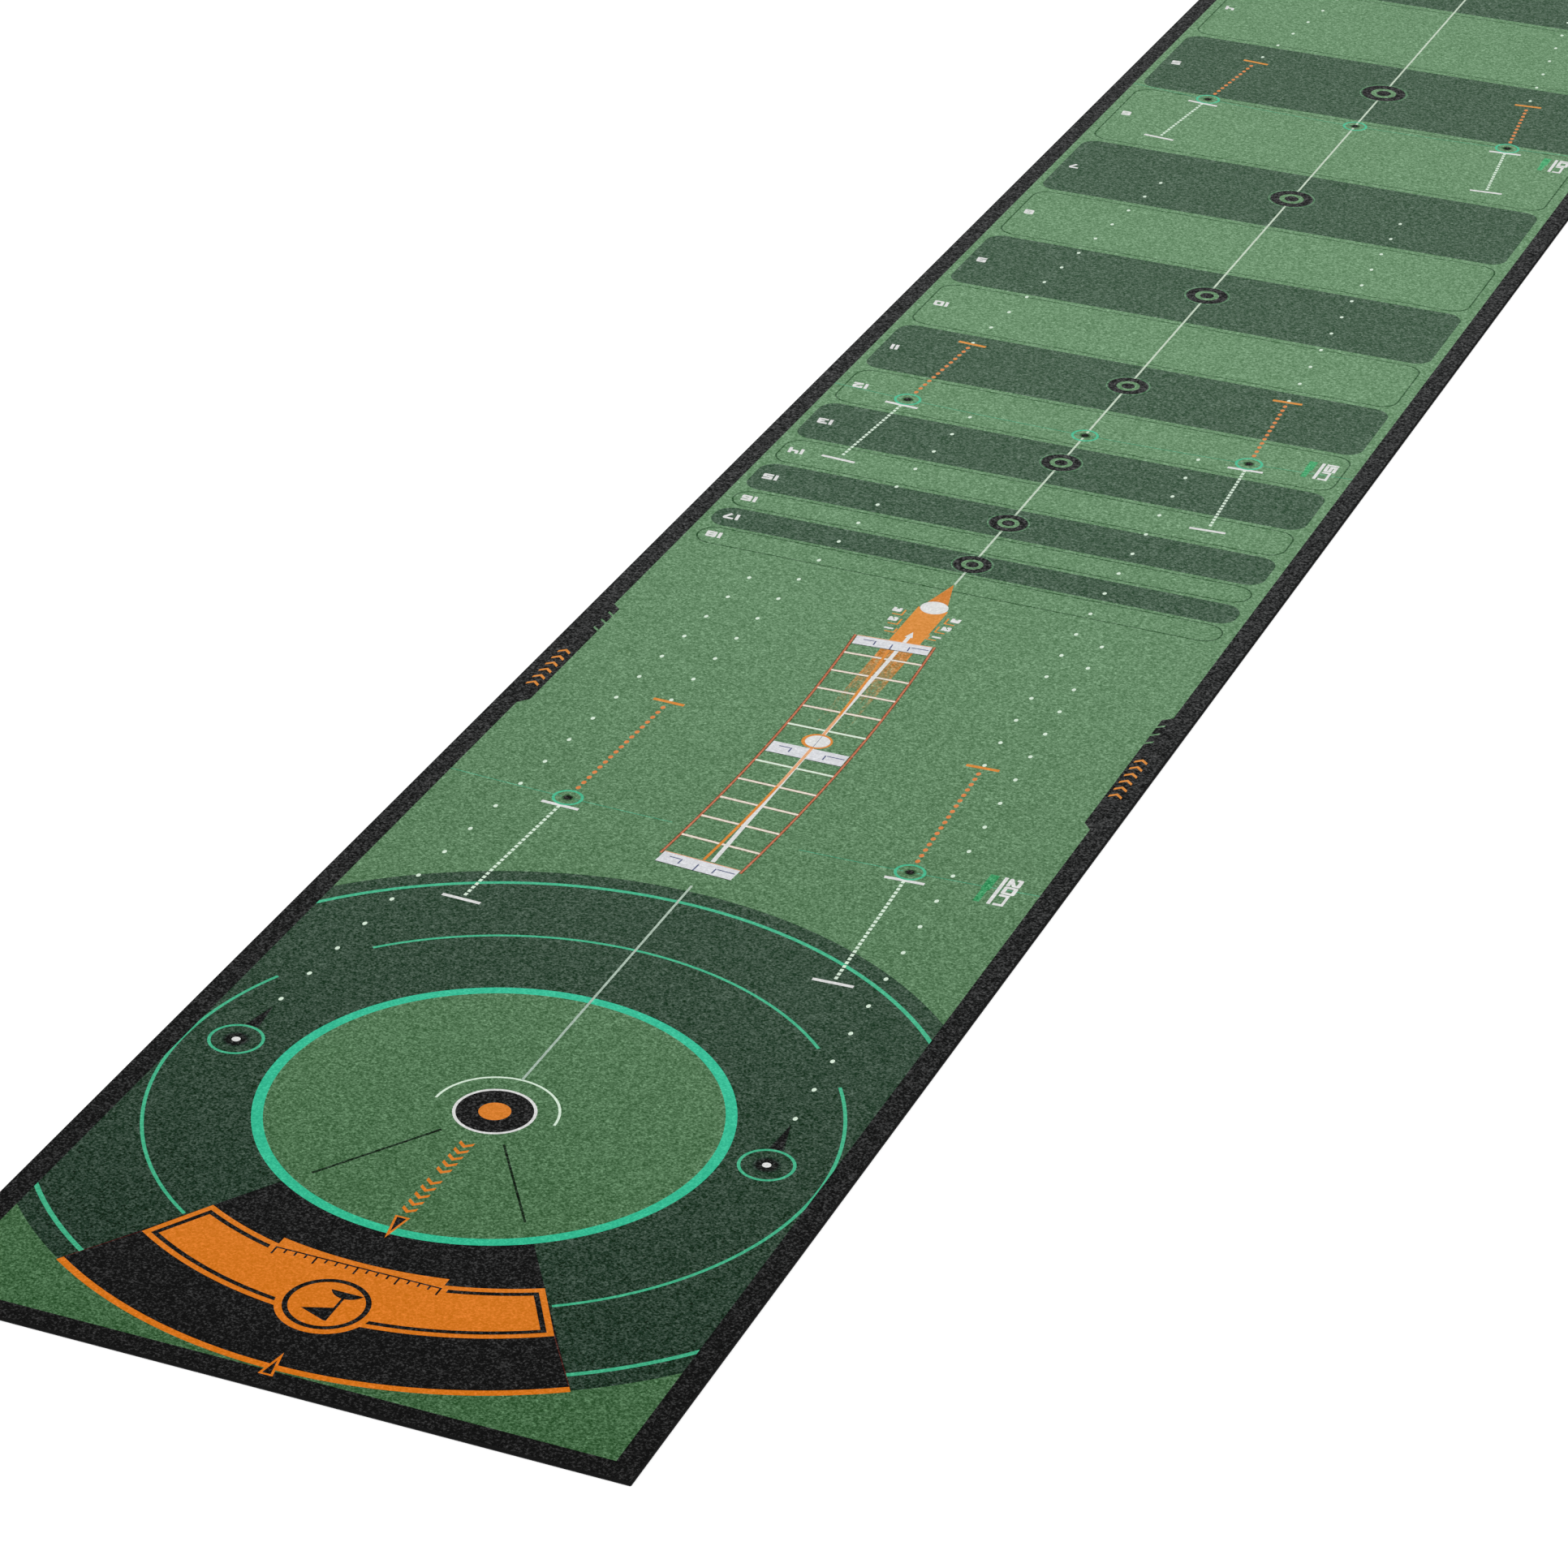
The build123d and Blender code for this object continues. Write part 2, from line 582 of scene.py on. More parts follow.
def paint_label(name, text, start):
    """A distance in white, read from the right-hand edge: an underlined number, a plain bracket
    where the real mat prints the unit, and a green tag below the line."""
    base, height = 0.4105, 0.0208
    strokes, width = number(text, 0.0232, height, 0.0058, 0.0014)
    total = width + 0.0350
    bracket = [rect(width + 0.0015, width + 0.0075, 0.0005, 0.0165),
               rect(width + 0.0015, total, 0.0122, 0.0165),
               rect(total - 0.0060, total, 0.0005, 0.0165)]
    underline = rect(0, total, -0.0085, -0.0029)
    tag = [rect(0, 0.55 * total, -0.0306, -0.0170), rect(0.5 * total, total, -0.0290, -0.0195)]
    for part, ink, shapes in (("_figures", "white", strokes + bracket + [underline]),
                              ("_tag", "tag_green", tag)):
        paint(name + part, ink, *[placed(shape, (base, start), -90) for shape in shapes])


def paint_labels():
    for text, start in (("20", 1.568), ("15", 3.123), ("10", 4.6405), ("5", 6.190)):
        paint_label("label_" + text, text, start)


# ---- score bands

BANDS = (  # number, near edge and far edge of each dark band, and the place of its ringed centre
    (17, 2.4746, 2.5463, 2.5105), (15, 2.6259, 2.7337, 2.6803), (13, 2.8500, 3.0044, 2.9384),
    (11, 3.1713, 3.3745, 3.2852), (9, 3.5898, 3.8301, 3.7226), (7, 4.0830, 4.3542, 4.2315),
    (5, 4.6757, 4.9889, 4.8390), (3, 5.3500, 5.6950, 5.5300), (1, 6.1000, 6.4800, 6.3000),
)
BAND_LEFT = 0.048 - HALF
BAND_RIGHT = 0.949 - HALF
BAND_CORNER = 0.030
BAND_LINE = 0.0027


def band_number(value, middle):
    """A band's number, read from the far end, with its feet leaning outwards."""
    height, slant = 0.0205, 0.12
    strokes, width = number(str(value), 0.0180, height, 0.0056, 0.0030)
    origin = (0.0661 - HALF + width, middle + 0.00275 + height / 2)
    for stroke in strokes:
        leaning = [(x + slant * (height - y), y) for x, y in stroke]
        paint("band_numbers", "white", placed(leaning, origin, 180))


def thin_band(value, bottom, top):
    """A light band is only a thin dark outline on the green, a little narrower than a dark band."""
    edges = rounded_frame(BAND_LEFT + 0.003, BAND_RIGHT - 0.002, bottom, top, BAND_CORNER, BAND_LINE)
    paint("band_outlines", "outline", *edges)
    band_number(value, (bottom + top) / 2)


def paint_bands():
    """The light band 18, then the dark bands, each with a light one between it and the next."""
    thin_band(18, 2.4047, 2.4676)
    for i, (value, bottom, top, _) in enumerate(BANDS):
        paint(f"band_{value}", "dark_green", rounded_rect(BAND_LEFT, BAND_RIGHT, bottom, top, BAND_CORNER))
        if i + 1 < len(BANDS):
            gap = 0.0085 + 0.0011 * i
            thin_band(value - 1, top + gap, BANDS[i + 1][1] - gap)


def paint_band_numbers():
    """The dark bands' numbers, which sit lower in their bands towards the hole."""
    for value, bottom, top, _ in BANDS:
        band_number(value, (bottom + top) / 2 - 0.0009 * (17 - value))


def paint_band_targets():
    """Ringed centres on the dark bands, which grow towards the hole. The last two have none."""
    for value, _, _, middle in BANDS[:-2]:
        size = 0.0310 + 0.0113 * ((17 - value) / 12) ** 1.6
        centre = (0, middle)
        paint("band_target_rims", "light_green", *ring(centre, 1.06 * size, 1.115 * size))
        paint("band_target_rings", "black", disc(centre, size))
        paint("band_target_greens", "green", disc(centre, 0.585 * size))
        paint("band_target_dots", "black", disc(centre, 0.34 * size))


# ---- stroke ladder

LADDER_MIDDLE = 1.8142
LADDER_RADIUS = 5.1  # the ladder follows the arc that a putter's head swings on
LADDER_CENTRE = (-LADDER_RADIUS, LADDER_MIDDLE)
RAIL = 0.0647  # distance of the two rails from the arc
RUNGS = 6  # spaces between the ladder's middle and either end
RUNG_PITCH = 0.0651
LADDER_BARS = ((-0.3829, 0.0315), (0.0028, 0.0345), (0.3894, 0.0300))  # top edge's place, height
BAR_HALF = 0.0612
TRAIL_START = 1.850  # near end of the trail behind the second ball
TRAIL_HALF = 0.0262
LINE_FOOT = 1.4345  # where the white line and the stroke's arc begin
BALLS = ((0.0, 1.842), (0.0, 2.338))


def on_ladder(along):
    """A point on the ladder's arc, and its tilt in degrees."""
    angle = along / LADDER_RADIUS
    x, y = LADDER_CENTRE
    return (x + LADDER_RADIUS * math.cos(angle), y + LADDER_RADIUS * math.sin(angle)), math.degrees(angle)


def ladder_band(across, width, start, end):
    """A strip along the ladder's arc, at a distance across it."""
    inner, outer = LADDER_RADIUS + across - width / 2, LADDER_RADIUS + across + width / 2
    turns = [math.degrees(along / LADDER_RADIUS) for along in (start, end)]
    return arc_band(LADDER_CENTRE, inner, outer, *turns)


def paint_ladder():
    """The trail, the two rails, and the rungs, which are white beside the middle bar."""
    reach = RUNGS * RUNG_PITCH
    trail_top = LADDER_MIDDLE + LADDER_BARS[2][0]
    paint("trail", "trail", rect(-TRAIL_HALF, TRAIL_HALF, TRAIL_START, trail_top))
    rail_width = 0.0034
    for side in SIDES:
        paint("rail_edges", "rail_edge", ladder_band(side * RAIL, 0.0054, -reach, reach))
        paint("ladder_rails", "rust", ladder_band(side * RAIL, rail_width, -reach, reach))
    half = RAIL - rail_width / 2
    for k in range(1 - RUNGS, RUNGS):
        if k == 0:
            continue
        point, tilt = on_ladder(k * RUNG_PITCH)
        piece, ink = ("middle_rungs", "dot_white") if abs(k) == 1 else ("ladder_rungs", "cream")
        paint("rung_edges", "rung_edge", placed(rect(-half, half, -0.0036, 0.0036), point, tilt))
        paint(piece, ink, placed(rect(-half, half, -0.0026, 0.0026), point, tilt))


def ladder_bar(along, height, end_bar):
    """A silver cross bar with a shadow under it, brushed streaks and a few plain marks."""
    point, tilt = on_ladder(along)

    def put(outline):
        return placed(outline, point, tilt)

    shadow, streak, mark = 0.0016, 0.0012, 0.0024  # how thick each is
    paint("bar_shadows", "shadow_grey", put(rect(-BAR_HALF, BAR_HALF, -height - shadow, 0)))
    paint("ladder_bars", "silver", put(rect(-BAR_HALF, BAR_HALF, -height, 0)))
    for i, ends in enumerate(((-0.9, 0.1), (-0.3, 0.8), (-0.8, 0.5), (0.0, 0.95))):
        low = -height * (0.22 + 0.2 * i)
        left, right = ends[0] * BAR_HALF, ends[1] * BAR_HALF
        paint("bar_streaks", "bright_silver", put(rect(left, right, low, low + streak)))
    if end_bar:
        paint("bar_edges", "peach", put(rect(-BAR_HALF, BAR_HALF, -0.0010, 0.0012)))
    marks = [rect(-0.0480, -0.0300, -0.0100 - mark, -0.0100),
             rect(-0.0292, -0.0292 + mark, -0.0245, -0.0100),
             rect(-mark / 2, mark / 2, -height, -0.0125),
             rect(0.0268, 0.0268 + mark, -0.0265, -0.0120),
             rect(0.0305, 0.0585, -0.0118 - mark, -0.0118)]
    paint("bar_marks", "blue_grey", *[put(shape) for shape in marks])


def paint_putting_line():
    """The ladder's bars, the white line, the orange arc of the stroke, and two ball spots."""
    ladder_bar(*LADDER_BARS[1], False)
    top = LADDER_BARS[2][0]
    high = LADDER_MIDDLE + top
    paint("stroke_line", "white", rect(-0.0034, 0.0034, LINE_FOOT, high))
    paint("stroke_arc", "orange", ladder_band(0, 0.0046, LINE_FOOT - LADDER_MIDDLE, top - 0.02))
    paint("stroke_merge", "peach_orange", ladder_band(0, 0.0050, -0.13, 0.12))
    ladder_bar(*LADDER_BARS[0], True)
    first, second = BALLS
    paint("strip", "orange", rect(-0.0250, 0.0250, high - 0.002, second[1] - 0.005))
    ladder_bar(*LADDER_BARS[2], True)
    shaft_end, arrow_end = 2.2243, 2.2446
    paint("stroke_line", "white", rect(-0.0032, 0.0032, high + 0.0005, shaft_end))
    paint("stroke_line", "white", [(-0.0065, shaft_end), (0.0065, shaft_end), (0, arrow_end)])
    paint("strip_tip", "brown_orange", [(-0.0180, 2.350), (0.0180, 2.350), (-0.001, 2.4284)])
    first_radius, second_radius = 0.0188, 0.0217
    paint("ball_rims", "orange", disc((first[0] - 0.0010, first[1]), 0.0240))
    paint("ball_lines", "silver", disc(first, 0.0194), disc(second, 0.0226))
    paint("ball_spots", "white", disc(first, first_radius), disc(second, second_radius))
    seam = rect(-0.0004, 0.0004, first[1] - first_radius, first[1] + first_radius)
    paint("ball_seams", "blue_grey", seam)


LADDER_FIGURES = (  # figure, its y, its x on the left and right, and how far below it the tick runs
    ("3", 2.3087, -0.0513, 0.0472, 0.0144),
    ("2", 2.2759, -0.0460, 0.0437, 0.0150),
    ("1", 2.2426, -0.0408, 0.0397, 0.0098),
)


def paint_ladder_figures():
    """Tempo figures 3, 2, 1 down both sides of the strip, each over an L-shaped tick."""
    height, stroke, tick = 0.0150, 0.0050, 0.0028
    for text, y, left, right, drop in LADDER_FIGURES:
        strokes, width = digit(text, 0.0142, height, stroke)
        low = y - drop - tick
        for x, side in ((left, 1), (right, -1)):
            origin = (x - height / 2, y + width / 2)
            paint("ladder_figures", "white", *[placed(shape, origin, -90) for shape in strokes])
            inner = x + side * 0.0130
            foot = sorted((x - side * 0.003, inner))
            paint("figure_ticks", "orange", rect(*foot, low, y - drop),
                  rect(inner - tick / 2, inner + tick / 2, low, y + 0.0035))


# ---- centre line and the far end

def paint_centre_line():
    half = 0.0019
    far_stop = FAR_HOLE[1] - 0.0885
    paint("centre_line", "pale", rect(-half, half, TARGET[1] + 0.0865, 1.358))
    paint("centre_line", "pale", rect(-half, half, 2.43, far_stop))


def paint_everything():
    paint_field()
    target_circles(FAR_HOLE, "far")
    target_hole(FAR_HOLE, "far")
    paint_target()
    paint_bands()
    paint_centre_line()
    paint_band_targets()
    paint_dot_rows()
    paint_stations()
    paint_labels()
    paint_band_numbers()
    paint_gates()
    paint_ladder()
    paint_putting_line()
    paint_ladder_figures()
    paint_border()
    paint_aiming_marks()
    paint_plaque()
    paint_zone_marks()
    outlined_triangle("zone_tip", 0.4105, 0.356, 0.0104, 0.0032)
    outlined_triangle("front_tip", 0.0236, 0.075, 0.0101, 0.0034)


# ---- from the plan to solids

MERGE = 1e-7  # points of the plan that are closer than this are one point


def clockwise(outline):
    area = 0.0
    for (ax, ay), (bx, by) in zip(outline, outline[1:] + outline[:1]):
        area += ax * by - bx * ay
    return area < 0


def clip(outline, axis, limit, keep_below):
    """The part of an outline on one side of a straight limit."""
    result = []
    for a, b in zip(outline, outline[1:] + outline[:1]):
        inside_a = (a[axis] <= limit) == keep_below
        inside_b = (b[axis] <= limit) == keep_below
        if inside_a:
            result.append(a)
        if inside_a != inside_b:
            t = (limit - a[axis]) / (b[axis] - a[axis])
            result.append((a[0] + (b[0] - a[0]) * t, a[1] + (b[1] - a[1]) * t))
    return result


def inside_mat(outline):
    """The outline cut off where the rim's tufts begin."""
    for axis, low, high in ((0, RIM_DEPTH - HALF, HALF - RIM_DEPTH), (1, RIM_DEPTH, LENGTH - RIM_DEPTH)):
        if min(p[axis] for p in outline) < low:
            outline = clip(outline, axis, low, False)
        if outline and max(p[axis] for p in outline) > high:
            outline = clip(outline, axis, high, True)
    return outline


def split_plan():
    """Triangles of the plan, grouped by the piece that is painted last on each."""
    points, faces, owners = [], [], []
    for piece, outline in layers:
        outline = inside_mat(outline)
        if len(outline) < 3:
            continue
        if clockwise(outline):
            outline = outline[::-1]
        faces.append(list(range(len(points), len(points) + len(outline))))
        points += [Vector(p) for p in outline]
        owners.append(piece)
    points, _, triangles, _, _, sources = geometry.delaunay_2d_cdt(points, [], faces, 1, MERGE)
    groups = {}
    for triangle, source in zip(triangles, sources):
        if source:
            groups.setdefault(owners[max(source)], []).append(triangle)
    return points, groups


def to_metres(point, z):
    """A plan point in widths as a place in the CAD frame."""
    return (point[0] * WIDTH, pile_low.y + point[1] * WIDTH, z)


def new_piece(name, vertices, faces, material):
    mesh = bpy.data.meshes.new(name)
    mesh.from_pydata(vertices, [], faces)
    mesh.validate()
    mesh.update()
    mesh.materials.append(material)
    piece = bpy.data.objects.new(name, mesh)
    bpy.context.scene.collection.objects.link(piece)
    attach(piece, "root")
    return piece


def prism(points, triangles, bottom, top):
    """A closed solid over some triangles of the plan."""
    index = {}
    for triangle in triangles:
        for corner in triangle:
            index.setdefault(corner, len(index))
    count = len(index)
    vertices = [to_metres(points[i], z) for z in (bottom, top) for i in index]
    faces, sides = [], {}
    for triangle in triangles:
        a, b, c = (index[i] for i in triangle)
        faces.append((a + count, b + count, c + count))
        faces.append((c, b, a))
        for edge in ((a, b), (b, c), (c, a)):
            if edge[::-1] in sides:
                del sides[edge[::-1]]
            else:
                sides[edge] = True
    for a, b in sides:
        faces.append((a, b, b + count, a + count))
    return vertices, faces


# ---- rim of the pile

TUFT = 4.0 * MM  # one tuft of the outermost row
SAMPLES_PER_TUFT = 4
CORNER_STEPS = 6
NOTCH = 0.16  # depth of the valleys between tufts: inwards, as a share of the rim's depth,
DIP = 0.05  # and downwards, as a share of the pile's height
RIM_PROFILE = (  # depth from the side face and height above the pile's base, as shares
    (1.00, 1.00), (0.60, 1.00), (0.30, 0.95), (0.09, 0.80), (0.0, 0.55), (0.03, 0.0), (1.00, 0.0),
)


def straight(start, end, outward):
    """Stations along one straight side: place, outward direction."""
    a, b = Vector(start), Vector(end)
    count = max(2, round((b - a).length / TUFT * SAMPLES_PER_TUFT))
    return [(a.lerp(b, i / count), Vector(outward)) for i in range(count + 1)]


def corner_turn(centre, start):
    """Stations round one corner of the mat."""
    stations = []
    for i in range(1, CORNER_STEPS):
        angle = math.radians(start + 90 * i / CORNER_STEPS)
        outward = Vector((math.cos(angle), math.sin(angle)))
        stations.append((Vector(centre) + outward * CORNER, outward))
    return stations


def rim_strip(stations, seed):
    """A closed strip of leaning tufts along the stations."""
    draw = random.Random(seed)
    height = pile_high.z - pile_low.z
    vertices, faces = [], []
    lean = [draw.uniform(0.4, 1.0) for _ in range(len(stations) // SAMPLES_PER_TUFT + 2)]
    rows = len(RIM_PROFILE)
    for i, (place, outward) in enumerate(stations):
        phase = (i % SAMPLES_PER_TUFT) / SAMPLES_PER_TUFT
        valley = (0.5 + 0.5 * math.cos(2 * math.pi * phase)) * lean[i // SAMPLES_PER_TUFT]
        for depth, rise in RIM_PROFILE:
            notch = NOTCH * valley * (1 - depth) * math.sin(math.pi * min(rise, 0.9))
            point = place - outward * RIM_DEPTH * min(depth + notch, 1.0)
            dip = DIP * valley * (1 - depth) if rise > 0.5 else 0.0
            vertices.append(to_metres(point, pile_low.z + height * (rise - dip)))
    for i in range(len(stations) - 1):
        for j in range(rows):
            k = (j + 1) % rows
            a, b = i * rows, (i + 1) * rows
            faces.append((a + j, a + k, b + k, b + j))
    last = (len(stations) - 1) * rows
    faces.append(tuple(reversed(range(rows))))
    faces.append(tuple(last + j for j in range(rows)))
    return vertices, faces


def end_side(edge, y, out, turn):
    """The near or the far side with its two corners; out is -1 for the near side, else 1."""
    first, last = out * (HALF - CORNER), out * (CORNER - HALF)
    stations = [(Vector((out * HALF, y)), Vector((out, 0)))]
    stations += corner_turn((first, y), turn)
    stations += straight((first, edge), (last, edge), (0, out))
    stations += corner_turn((last, y), turn + 90)
    return stations + [(Vector((-out * HALF, y)), Vector((-out, 0)))]


def rim_sides():
    """The four sides of the rim, counter-clockwise."""
    low, high = CORNER, LENGTH - CORNER
    return {
        "rim_near": end_side(0, low, -1, 180),
        "rim_right": straight((HALF, low), (HALF, high), (1, 0)),
        "rim_far": end_side(LENGTH, high, 1, 0),
        "rim_left": straight((-HALF, high), (-HALF, low), (-1, 0)),
    }


# ---- backing cloth

CLOTH_SEED = 7
FRAY = 0.25 * MM  # how far a thread end may stand back from the cloth's edge


def cloth_outline():
    """The cut edge of the cloth: a rounded rectangle whose thread ends stand unevenly."""
    draw = random.Random(CLOTH_SEED)
    outline = []
    turn = CORNER_STEPS + 1  # how many stations at each end of a side go round its corner
    for name, stations in rim_sides().items():
        if name in ("rim_near", "rim_far"):
            chosen = stations[:turn] + stations[turn:-turn:SAMPLES_PER_TUFT] + stations[-turn:]
        else:
            chosen = stations[SAMPLES_PER_TUFT:-1:SAMPLES_PER_TUFT]
        for place, outward in chosen:
            outline.append(tuple(place - outward * draw.uniform(0.0, FRAY)))
    return outline


def build_cloth(material):
    outline = [Vector(point) for point in cloth_outline()]
    found = geometry.delaunay_2d_cdt(outline, [], [list(range(len(outline)))], 1, MERGE)
    vertices, faces = prism(found[0], found[2], cloth_low.z, cloth_high.z)
    cloth = new_piece("tufted_cloth", vertices, faces, material)
    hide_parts("backing_cloth")
    return cloth


# ---- materials

def linear(red, green, blue):
    """An 8-bit screen colour as linear values."""
    values = []
    for value in (red, green, blue):
        share = value / 255
        values.append(share / 12.92 if share <= 0.04045 else ((share + 0.055) / 1.055) ** 2.4)
    return values


class Graph:
    """Short calls for the nodes of one material."""

    def __init__(self, name):
        self.material = bpy.data.materials.new(name)
        self.material.use_nodes = True
        self.tree = self.material.node_tree
        self.shader = self.tree.nodes["Principled BSDF"]
        self.place = self.node("ShaderNodeTexCoord").outputs["Object"]

    def node(self, kind, sockets=(), **settings):
        """A new node with its settings, and values for some sockets by their name or number."""
        made = self.tree.nodes.new(kind)
        for key, value in settings.items():
            setattr(made, key, value)
        for key, value in dict(sockets).items():
            self.put(made.inputs[key], value)
        return made

    def put(self, socket, value):
        """Links an output to a socket, or sets the socket's own value."""
        if isinstance(value, bpy.types.NodeSocket):
            self.tree.links.new(value, socket)
        else:
            socket.default_value = value

    def noise(self, scale, detail=1.0, roughness=0.5, vector=None):
        vector = self.place if vector is None else vector
        sockets = {"Vector": vector, "Scale": scale, "Detail": detail, "Roughness": roughness}
        return self.node("ShaderNodeTexNoise", sockets).outputs["Fac"]

    def math(self, operation, *values):
        return self.node("ShaderNodeMath", enumerate(values), operation=operation).outputs[0]

    def vector(self, operation, *values):
        return self.node("ShaderNodeVectorMath", enumerate(values), operation=operation).outputs[0]

    def scaled(self, vector, factor):
        sockets = {0: vector, "Scale": factor}
        return self.node("ShaderNodeVectorMath", sockets, operation="SCALE").outputs[0]

    def ramp(self, value, low, high, to_low, to_high, kind="LINEAR"):
        sockets = enumerate((value, low, high, to_low, to_high))
        return self.node("ShaderNodeMapRange", sockets, interpolation_type=kind).outputs[0]

    def mix(self, factor, first, second):
        """A colour between two; sockets 6 and 7 and output 2 are the node's colours."""
        sockets = {"Factor": factor, 6: first, 7: second}
        return self.node("ShaderNodeMix", sockets, data_type="RGBA").outputs[2]

    def surface(self, colour, roughness, specular):
        """The shader's colour, its roughness and how much it mirrors."""
        self.put(self.shader.inputs["Base Color"], colour)
        self.put(self.shader.inputs["Roughness"], roughness)
        self.shader.inputs["Specular IOR Level"].default_value = specular

    def bump(self, height, strength, distance):
        sockets = {"Height": height, "Strength": strength, "Distance": distance}
        self.put(self.shader.inputs["Normal"], self.node("ShaderNodeBump", sockets).outputs["Normal"])


# How each ink looks at the target end and up the lane (8-bit screen colours): painted shade near the
# target, lightening to painted sheen up the lane.
INKS_WITH_PAINTED_SHADE = {
    "green": ((66, 102, 67), (113, 150, 114)),
    "dark_green": ((39, 57, 46), (79, 102, 84)),
    "tag_green": ((18, 116, 60), (84, 172, 118)),
    "black": ((27, 27, 27), (56, 57, 57)),
    "outline": ((24, 42, 27), (68, 100, 71)),
    "turquoise": ((50, 181, 138), (76, 205, 172)),
    "thin_turquoise": ((66, 173, 131), (86, 192, 151)),
    "orange": ((213, 115, 29), (221, 150, 77)),
    "dot_orange": ((216, 122, 60), (222, 142, 88)),
    "white": ((217, 218, 216), (224, 225, 223)),
    "dot_white": ((214, 234, 214), (218, 236, 218)),
    "pale": ((142, 166, 156), (200, 215, 196)),
}
STEADY_INKS = {  # inks of one place only, which don't change along it
    "brown_orange": (208, 132, 64), "peach": (222, 168, 132), "peach_orange": (228, 170, 126),
    "rust": (192, 116, 86), "dark_rust": (85, 45, 38), "cream": (232, 222, 208),
    "rung_edge": (112, 98, 72), "rail_edge": (84, 66, 50), "faint_turquoise": (86, 168, 132),
    "silver": (216, 218, 222), "bright_silver": (228, 229, 232), "blue_grey": (96, 104, 136),
    "shadow_grey": (48, 60, 54), "dark_line": (27, 47, 30), "light_green": (104, 146, 112),
    "shade_1": (46, 62, 53), "shade_2": (38, 47, 42), "shade_3": (30, 33, 31),
    "spot_1": (84, 120, 86), "spot_2": (58, 82, 60), "spot_3": (42, 42, 40),
}
LIGHT_LEVEL = 1.15  # brightness of a white sheet lying under the lamps
# The painted shade and sheen along the lane stop changing here, with this power on their mask.
PAINTED_SHADE_END = 3.4  # where the inks stop lightening, in widths
PAINTED_SHADE_POWER = 1.6
HAZE = (0.0055, 0.006)  # what the sheen adds to every colour, near and far
DARKEST = 0.0015
# The pile's speckle. Pairs are for the target end and up the lane.
SPECKLE = (3.1, 1.85)  # how strongly the yarn's light and dark tips show
LIFT = (0.14, 0.27)  # the part of the speckle that is pale dust rather than ink
TUFT_SHARE = (0.75, 0.33)  # fine tufts against coarser clumps of them
CLUMP_SHARE = (0.10, 0.52)
FIBRE_SHARE = 0.15
BLOTCH_SHARE = 0.09
SMOOTH_INKS = {  # inks that show only a share of the speckle
    "turquoise": 0.4, "thin_turquoise": 0.4, "pale": 0.4, "rust": 0.5, "blue_grey": 0.5,
    "orange": 0.35, "dot_orange": 0.35, "peach_orange": 0.35, "brown_orange": 0.45, "peach": 0.35,
    "white": 0.35, "dot_white": 0.2, "cream": 0.35, "silver": 0.35, "bright_silver": 0.35,
}


def along_mat(graph):
    """The node output that holds a point's Y."""
    return graph.node("ShaderNodeSeparateXYZ", {0: graph.place}).outputs["Y"]


def nearness(graph):
    """1 at the target end, falling to 0 where the inks stop lightening. It masks the painted shade and
    sheen along the lane, and also sets the speckle.
    """
    rest = graph.ramp(along_mat(graph), pile_low.y, pile_low.y + PAINTED_SHADE_END * WIDTH, 1.0, 0.0)
    return graph.math("POWER", rest, PAINTED_SHADE_POWER)


def between(graph, near, pair, scale=1.0):
    """The value of a near and far pair that belongs to a nearness."""
    return graph.math("MULTIPLY_ADD", near, scale * (pair[0] - pair[1]), scale * pair[1])


def ink_colour(graph, ink):
    """The colour of one ink, which lightens from the target end up the lane: painted shade near the target,
    painted sheen up the lane.
    """
    looks = INKS_WITH_PAINTED_SHADE.get(ink) or (STEADY_INKS[ink], STEADY_INKS[ink])
    near, far = ([max(value / LIGHT_LEVEL - haze, DARKEST) for value in linear(*look)] + [1.0]
                 for look, haze in zip(looks, HAZE))
    # Painted shade and sheen: the ink is darker at the target end and lighter up the lane.
    return graph.mix(nearness(graph), far, near)


def trail_colour(graph):
    """Orange streaks over the green, which thin out towards the first ball."""
    low = pile_low.y + TRAIL_START * WIDTH
    high = pile_low.y + (LADDER_MIDDLE + 5.2 * RUNG_PITCH) * WIDTH
    share = graph.math("POWER", graph.ramp(along_mat(graph), low, high, 0.0, 1.0), 1.5)
    across = graph.node("ShaderNodeSeparateXYZ", {0: graph.place}).outputs["X"]
    side = graph.math("ABSOLUTE", across)
    edge = graph.ramp(side, 0.7 * TRAIL_HALF * WIDTH, TRAIL_HALF * WIDTH, 0.0, 0.22)
    stretched = graph.vector("MULTIPLY", graph.place, (1.0, 0.12, 1.0))
    streaks = graph.noise(520.0, vector=stretched)
    mottle = graph.noise(300.0, 2.0)
    uneven = graph.math("ADD", graph.math("MULTIPLY", streaks, 0.9), graph.math("MULTIPLY", mottle, 0.9))
    cover = graph.math("ADD", graph.math("ADD", share, edge), uneven)
    cover = graph.ramp(cover, 1.22, 2.05, 0.0, 0.92)
    return graph.mix(cover, ink_colour(graph, "green"), ink_colour(graph, "brown_orange"))


